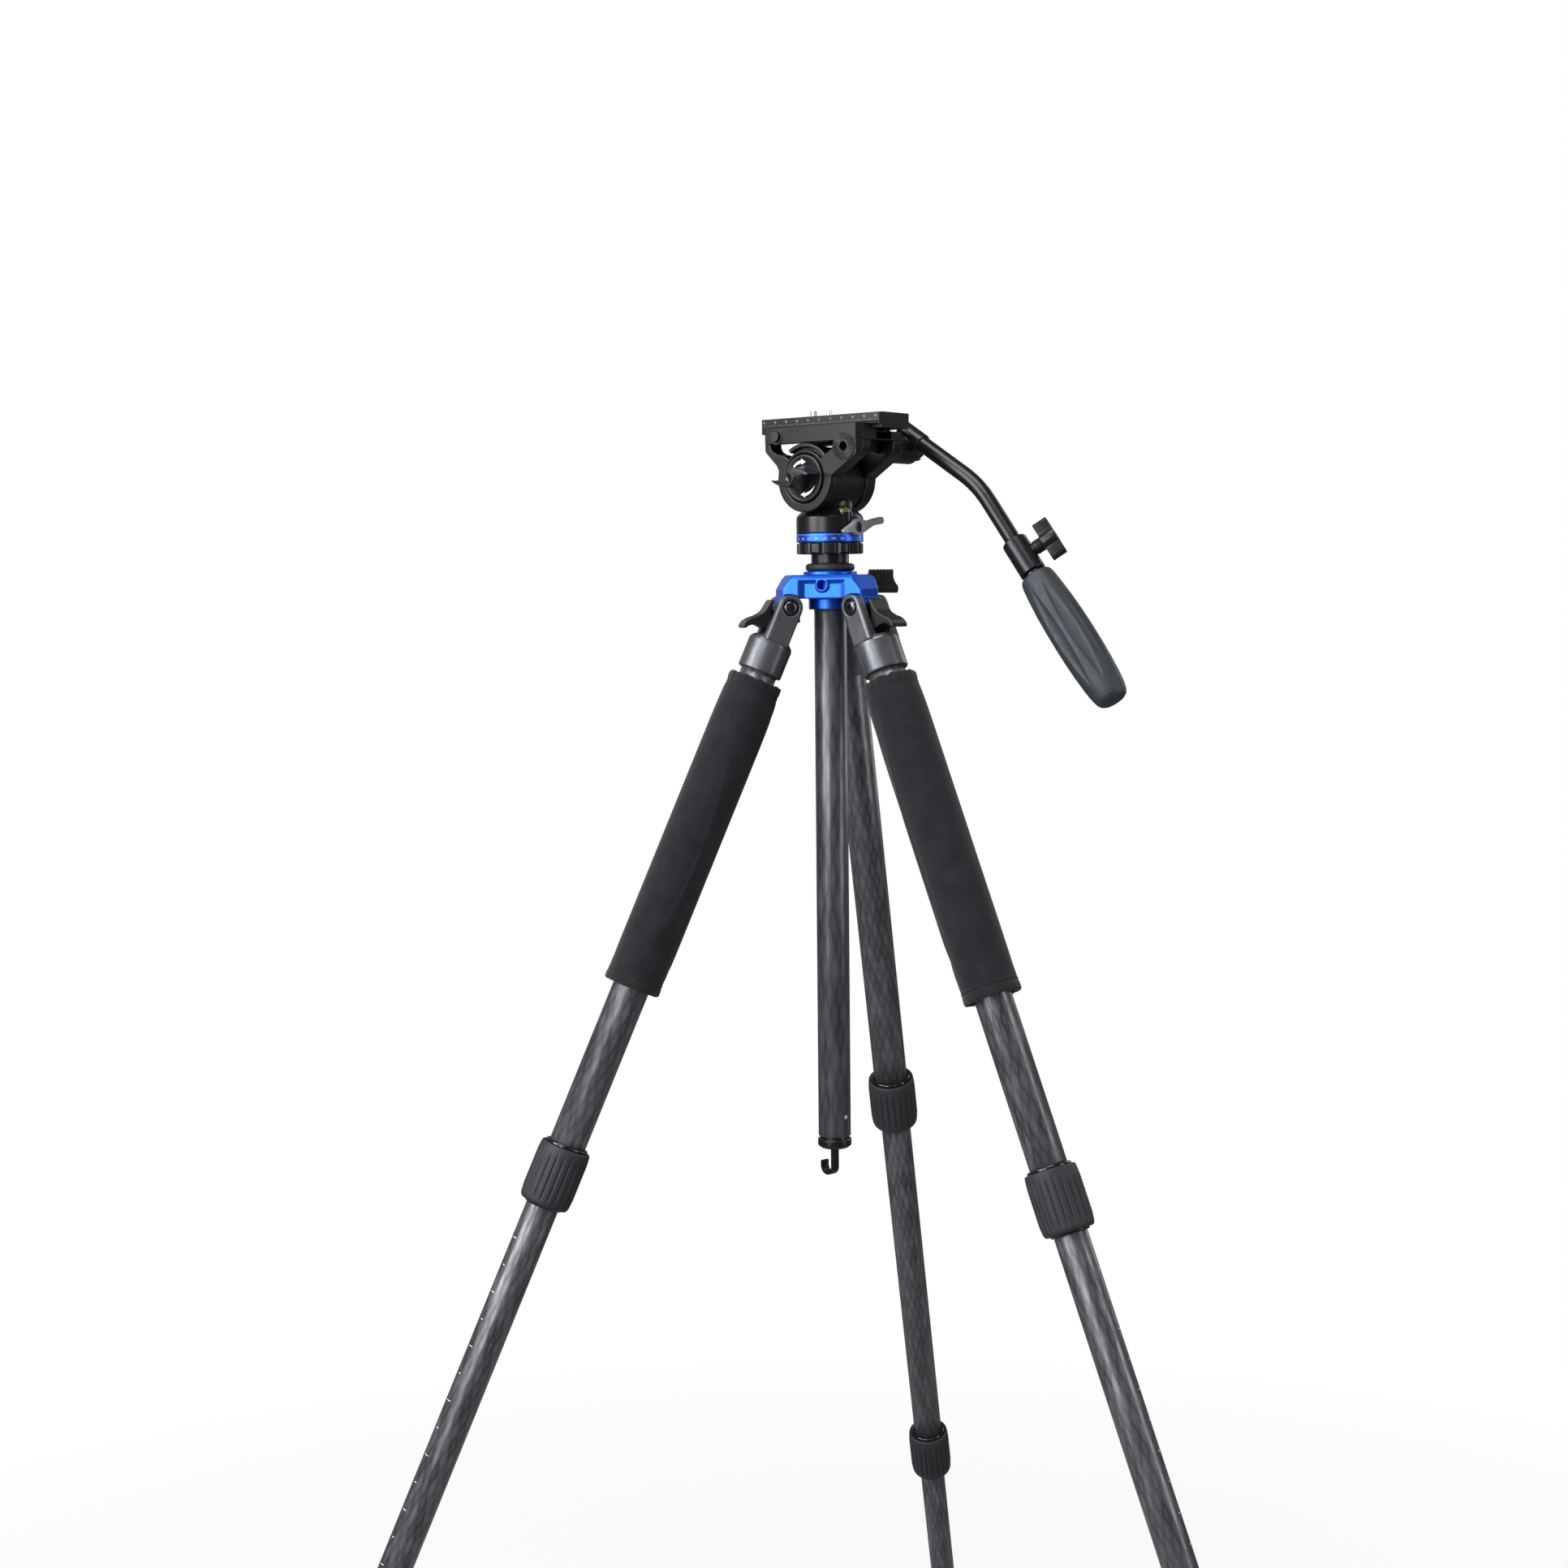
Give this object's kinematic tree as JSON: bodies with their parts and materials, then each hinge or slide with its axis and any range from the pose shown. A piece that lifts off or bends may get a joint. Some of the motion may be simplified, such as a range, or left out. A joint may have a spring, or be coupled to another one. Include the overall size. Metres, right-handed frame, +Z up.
{
  "type": "camera tripod with fluid head",
  "caption": "Three-section carbon-fibre camera tripod with a sliding centre column, twist-lock legs, fabric leg sleeves and a fluid pan-and-tilt head with a bent pan handle.",
  "frame": {"origin": "on the ground, at the middle of the box around the three feet; the column stands about 152 mm towards -Y of it", "axes": "+Z up along the centre column; +Y towards the back leg, with the two sleeved legs at the front left and front right"},
  "size_m": [1.0944, 0.9528, 1.4994],
  "materials": {
    "blue_anodised": "satin",
    "black_plastic": "matt",
    "black_metal": "satin",
    "grey_metal": "satin",
    "carbon": "satin",
    "rubber": "matt",
    "foot_rubber": "matt",
    "steel": "polished",
    "lever_grey": "matt",
    "fabric": "woven",
    "vial": "clear"
  },
  "bodies": {
    "hub_frame": {"hub": "blue_anodised", "pivot_blocks": "black_plastic", "pivot_bolts": "steel", "column_bush": "black_plastic"},
    "column_knob": {"column_lock_knob": "black_plastic"},
    "column": {"column_tube": "carbon", "column_platform": "black_metal", "bumper_ring": "rubber", "weight_hook": "black_metal", "column_screws": "steel", "pan_base": "blue_anodised"},
    "pan_head": {"pan_housing": "black_metal", "bubble_level": "vial", "tilt_shaft": "steel"},
    "pan_lock": {"pan_lever": "lever_grey", "pan_lever_screw": "steel"},
    "tilt_frame": {"left_cheek": "black_metal", "right_cheek": "black_metal", "clamp_platform": "black_metal", "rosettes": "black_metal"},
    "jaw": {"clamp_jaw": "black_metal"},
    "button": {"release_button": "black_plastic"},
    "drag_dial": {"drag_knob": "black_plastic", "drag_knob_screw": "steel"},
    "plate": {"camera_plate": "black_metal"},
    "mount_screw": {"camera_screw": "steel"},
    "anti_twist": {"anti_twist_pin": "steel"},
    "handle": {"handle_clamp": "black_metal", "handle_bar": "black_metal"},
    "handle_screw": {"handle_clamp_screw": "black_plastic"},
    "grip": {"handle_ferrule": "black_metal", "handle_grip": "rubber"},
    "grip_knob": {"handle_lock_knob": "black_plastic"},
    "leg_a": {"leg_a_casting": "grey_metal", "leg_a_upper_tube": "carbon"},
    "leg_a_tab": {"leg_a_angle_tab": "black_plastic"},
    "leg_a_upper_twist": {"leg_a_upper_lock": "rubber"},
    "leg_a_middle": {"leg_a_middle_tube": "carbon"},
    "leg_a_lower_twist": {"leg_a_lower_lock": "rubber"},
    "leg_a_lower": {"leg_a_lower_tube": "carbon", "leg_a_foot": "foot_rubber"},
    "leg_b": {"leg_b_casting": "grey_metal", "leg_b_upper_tube": "carbon", "leg_b_sleeve": "fabric"},
    "leg_b_tab": {"leg_b_angle_tab": "black_plastic"},
    "leg_b_upper_twist": {"leg_b_upper_lock": "rubber"},
    "leg_b_middle": {"leg_b_middle_tube": "carbon"},
    "leg_b_lower_twist": {"leg_b_lower_lock": "rubber"},
    "leg_b_lower": {"leg_b_lower_tube": "carbon", "leg_b_foot": "foot_rubber"},
    "leg_c": {"leg_c_casting": "grey_metal", "leg_c_upper_tube": "carbon", "leg_c_sleeve": "fabric"},
    "leg_c_tab": {"leg_c_angle_tab": "black_plastic"},
    "leg_c_upper_twist": {"leg_c_upper_lock": "rubber"},
    "leg_c_middle": {"leg_c_middle_tube": "carbon"},
    "leg_c_lower_twist": {"leg_c_lower_lock": "rubber"},
    "leg_c_lower": {"leg_c_lower_tube": "carbon", "leg_c_foot": "foot_rubber"}
  },
  "joints": [
    {"name": "column_knob_turn", "type": "hinge", "parent": "hub_frame", "child": "column_knob", "pos_m": [0.02598, -0.13747, 1.34988], "axis": [0.866, 0.5, 0], "range_deg": [0, 180]},
    {"name": "column_raise", "type": "slide", "parent": "hub_frame", "child": "column", "axis": [0, 0, 1], "range_m": [0, 0.4]},
    {"name": "pan", "type": "hinge", "parent": "column", "child": "pan_head", "pos_m": [0, -0.15247, 1.32688], "axis": [0, 0, 1], "continuous": true},
    {"name": "pan_lock_lever", "type": "hinge", "parent": "pan_head", "child": "pan_lock", "pos_m": [0.02709, -0.16855, 1.39658], "axis": [0.8599, -0.5105, 0], "range_deg": [0, 45]},
    {"name": "tilt", "type": "hinge", "parent": "pan_head", "child": "tilt_frame", "pos_m": [0, -0.15247, 1.43888], "axis": [-0.4337, -0.9011, 0], "range_deg": [-45, 70]},
    {"name": "button_press", "type": "slide", "parent": "tilt_frame", "child": "button", "axis": [0.4337, 0.9011, 0], "range_m": [0, 0.003], "stiffness_N_per_m": 400, "springref_m": -0.004},
    {"name": "jaw_open", "type": "slide", "parent": "tilt_frame", "child": "jaw", "axis": [-0.4337, -0.9011, 0], "range_m": [0, 0.0024]},
    {"name": "drag_dial_turn", "type": "hinge", "parent": "tilt_frame", "child": "drag_dial", "pos_m": [-0.01518, -0.184, 1.43888], "axis": [-0.4337, -0.9011, 0], "range_deg": [0, 300]},
    {"name": "plate_shift", "type": "slide", "parent": "tilt_frame", "child": "plate", "axis": [0.9011, -0.4337, 0], "range_m": [-0.008, 0.014]},
    {"name": "mount_screw_turn", "type": "hinge", "parent": "plate", "child": "mount_screw", "pos_m": [-0.01559, -0.14496, 1.49188], "axis": [0, 0, 1], "continuous": true},
    {"name": "anti_twist_press", "type": "slide", "parent": "plate", "child": "anti_twist", "axis": [0, 0, -1], "range_m": [0, 0.0035], "stiffness_N_per_m": 300, "springref_m": -0.003},
    {"name": "handle_swing", "type": "hinge", "parent": "tilt_frame", "child": "handle", "pos_m": [0.0623, -0.12585, 1.46428], "axis": [0.4337, 0.9011, 0], "range_deg": [-120, 30]},
    {"name": "handle_screw_turn", "type": "hinge", "parent": "handle", "child": "handle_screw", "pos_m": [0.0623, -0.12585, 1.46428], "axis": [0.4337, 0.9011, 0], "range_deg": [0, 180]},
    {"name": "grip_extend", "type": "slide", "parent": "handle", "child": "grip", "axis": [0.5398, -0.2598, -0.8007], "range_m": [0, 0.09]},
    {"name": "grip_knob_turn", "type": "hinge", "parent": "grip", "child": "grip_knob", "pos_m": [0.17542, -0.18029, 1.36878], "axis": [0.835, 0.0442, 0.5485], "range_deg": [0, 180]},
    {"name": "leg_a_spread", "type": "hinge", "parent": "hub_frame", "child": "leg_a", "pos_m": [0, -0.11107, 1.32688], "axis": [1, 0, 0], "range_deg": [-23.3, 31.5]},
    {"name": "leg_a_tab_press", "type": "hinge", "parent": "leg_a", "child": "leg_a_tab", "pos_m": [0, -0.09622, 1.31153], "axis": [-1, 0, 0], "range_deg": [0, 12], "stiffness_Nm_per_rad": 0.4, "springref_deg": -20.05},
    {"name": "leg_a_upper_lock_turn", "type": "hinge", "parent": "leg_a", "child": "leg_a_upper_twist", "pos_m": [0, 0.10007, 0.84075], "axis": [0, 0.3984, -0.9172], "range_deg": [0, 90]},
    {"name": "leg_a_middle_slide", "type": "slide", "parent": "leg_a", "child": "leg_a_middle", "axis": [0, 0.3984, -0.9172], "range_m": [-0.385, 0]},
    {"name": "leg_a_lower_lock_turn", "type": "hinge", "parent": "leg_a_middle", "child": "leg_a_lower_twist", "pos_m": [0, 0.28132, 0.42341], "axis": [0, 0.3984, -0.9172], "range_deg": [0, 90]},
    {"name": "leg_a_lower_slide", "type": "slide", "parent": "leg_a_middle", "child": "leg_a_lower", "axis": [0, 0.3984, -0.9172], "range_m": [-0.36, 0]},
    {"name": "leg_b_spread", "type": "hinge", "parent": "hub_frame", "child": "leg_b", "pos_m": [-0.03585, -0.17317, 1.32688], "axis": [-0.5, 0.866, 0], "range_deg": [-23.3, 31.5]},
    {"name": "leg_b_tab_press", "type": "hinge", "parent": "leg_b", "child": "leg_b_tab", "pos_m": [-0.04871, -0.18059, 1.31153], "axis": [0.5, -0.866, 0], "range_deg": [0, 12], "stiffness_Nm_per_rad": 0.4, "springref_deg": -20.05},
    {"name": "leg_b_upper_lock_turn", "type": "hinge", "parent": "leg_b", "child": "leg_b_upper_twist", "pos_m": [-0.2187, -0.27873, 0.84075], "axis": [-0.345, -0.1992, -0.9172], "range_deg": [0, 90]},
    {"name": "leg_b_middle_slide", "type": "slide", "parent": "leg_b", "child": "leg_b_middle", "axis": [-0.345, -0.1992, -0.9172], "range_m": [-0.385, 0]},
    {"name": "leg_b_lower_lock_turn", "type": "hinge", "parent": "leg_b_middle", "child": "leg_b_lower_twist", "pos_m": [-0.37567, -0.36936, 0.42341], "axis": [-0.345, -0.1992, -0.9172], "range_deg": [0, 90]},
    {"name": "leg_b_lower_slide", "type": "slide", "parent": "leg_b_middle", "child": "leg_b_lower", "axis": [-0.345, -0.1992, -0.9172], "range_m": [-0.36, 0]},
    {"name": "leg_c_spread", "type": "hinge", "parent": "hub_frame", "child": "leg_c", "pos_m": [0.03585, -0.17317, 1.32688], "axis": [-0.5, -0.866, 0], "range_deg": [-23.3, 31.5]},
    {"name": "leg_c_tab_press", "type": "hinge", "parent": "leg_c", "child": "leg_c_tab", "pos_m": [0.04871, -0.18059, 1.31153], "axis": [0.5, 0.866, 0], "range_deg": [0, 12], "stiffness_Nm_per_rad": 0.4, "springref_deg": -20.05},
    {"name": "leg_c_upper_lock_turn", "type": "hinge", "parent": "leg_c", "child": "leg_c_upper_twist", "pos_m": [0.2187, -0.27873, 0.84075], "axis": [0.345, -0.1992, -0.9172], "range_deg": [0, 90]},
    {"name": "leg_c_middle_slide", "type": "slide", "parent": "leg_c", "child": "leg_c_middle", "axis": [0.345, -0.1992, -0.9172], "range_m": [-0.385, 0]},
    {"name": "leg_c_lower_lock_turn", "type": "hinge", "parent": "leg_c_middle", "child": "leg_c_lower_twist", "pos_m": [0.37567, -0.36936, 0.42341], "axis": [0.345, -0.1992, -0.9172], "range_deg": [0, 90]},
    {"name": "leg_c_lower_slide", "type": "slide", "parent": "leg_c_middle", "child": "leg_c_lower", "axis": [0.345, -0.1992, -0.9172], "range_m": [-0.36, 0]}
  ],
  "couplings": [
    {"joint": "jaw_open", "follows": "button_press", "ratio": 0.8}
  ]
}
